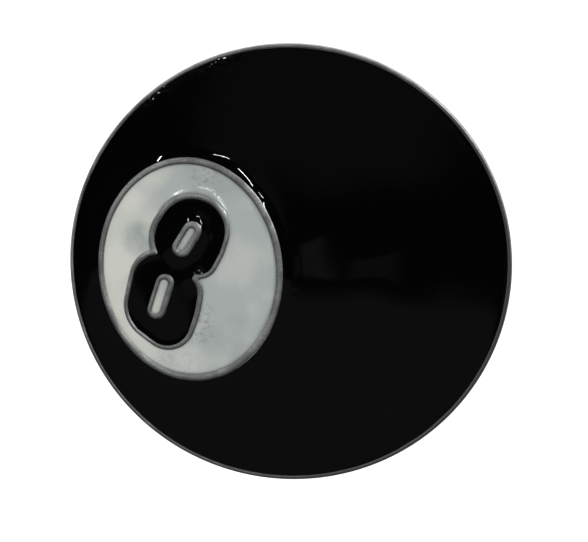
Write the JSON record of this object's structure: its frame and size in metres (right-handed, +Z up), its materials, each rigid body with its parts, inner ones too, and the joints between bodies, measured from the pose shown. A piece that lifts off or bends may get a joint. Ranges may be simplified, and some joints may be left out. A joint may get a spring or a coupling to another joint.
{
  "type": "enamelled belt buckle",
  "caption": "Round cast belt buckle with an enamelled eight-ball face, and on its back a swinging wire bail and a headed stud for a 38 mm belt.",
  "frame": {"origin": "middle of the back, in the plane of the raised back border", "axes": "-Y out of the enamelled face, +Y towards the wearer, +Z up as worn, +X along the belt to the right of someone looking at the face"},
  "size_m": [0.076, 0.0098, 0.076],
  "materials": {
    "cast_metal": "tumbled cast zinc alloy, dull grey, edges burnished",
    "black_enamel": "thick glossy black resin enamel that climbs at its edges",
    "white_enamel": "glossy off-white resin enamel with faint specks",
    "fitting_metal": "turned or pressed steel, plated dull grey",
    "wire_metal": "drawn steel wire, plated grey, worn bright on the bar",
    "solder": "soft solder, satin grey"
  },
  "bodies": {
    "plate": {"buckle_plate": "cast_metal", "field_enamel": "black_enamel", "spot_enamel": "white_enamel", "numeral_enamel": "black_enamel", "upper_counter_enamel": "white_enamel", "lower_counter_enamel": "white_enamel", "upper_hinge_lug": "fitting_metal", "lower_hinge_lug": "fitting_metal", "upper_lug_solder": "solder", "lower_lug_solder": "solder", "belt_stud": "fitting_metal", "stud_solder": "solder"},
    "bail": {"wire_bail": "wire_metal"}
  },
  "joints": [
    {"name": "bail_swing", "type": "hinge", "parent": "plate", "child": "bail", "pos_m": [0.009, 0.003, 0], "axis": [0, 0, 1], "range_deg": [-4, 184]}
  ]
}
